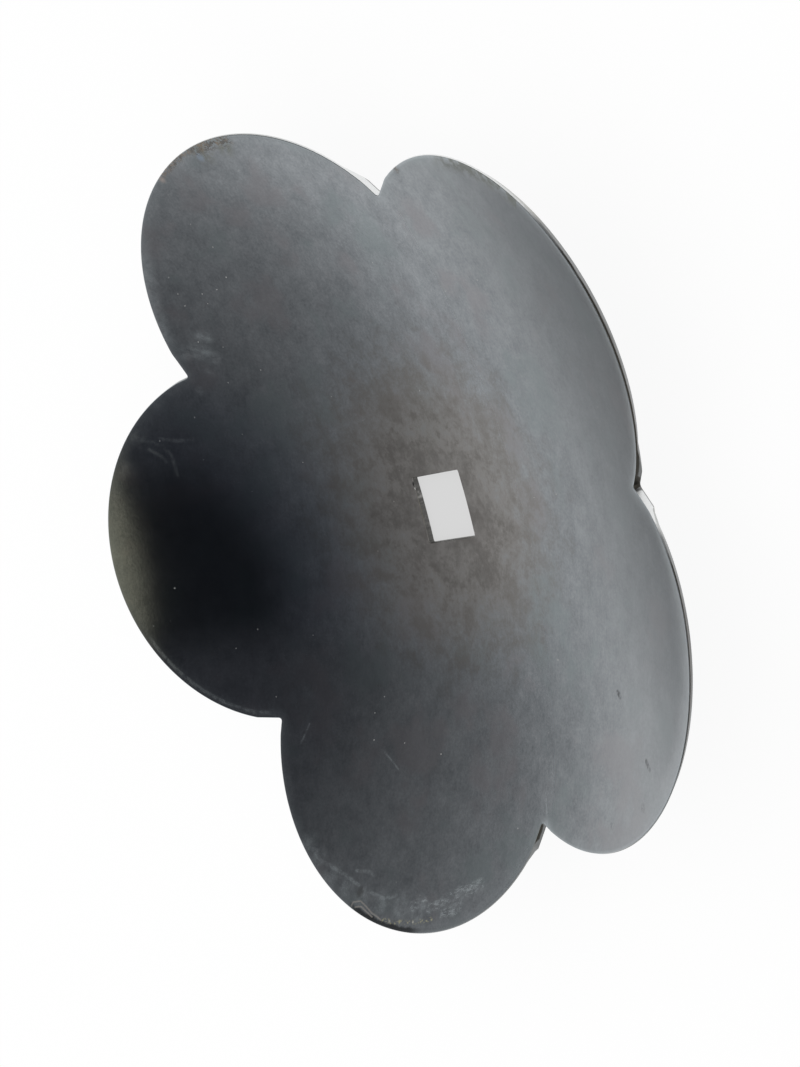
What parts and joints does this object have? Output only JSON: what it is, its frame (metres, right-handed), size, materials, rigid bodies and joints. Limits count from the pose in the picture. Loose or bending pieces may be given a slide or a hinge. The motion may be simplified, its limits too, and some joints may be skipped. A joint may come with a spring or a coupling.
{
  "type": "harrow disc blade",
  "caption": "Concave harrow disc blade with a lobed rim, V notches between the lobes, a back-ground cutting bevel and a square axle hole.",
  "frame": {"origin": "middle of the square axle hole, at the level of its lowest edge, where the convex back rests", "axes": "+Z along the disc's axis towards its hollow side, +Y towards one lobe's tip, which a side of the square hole faces"},
  "size_m": [0.5474, 0.5337, 0.0882],
  "materials": {
    "hardened_steel": "dark blue-grey hardened steel with a thin oil film, bright ground bevel, light rust and scuffs at the rim"
  },
  "bodies": {
    "root": {"disc_blade": "hardened_steel"}
  },
  "joints": []
}
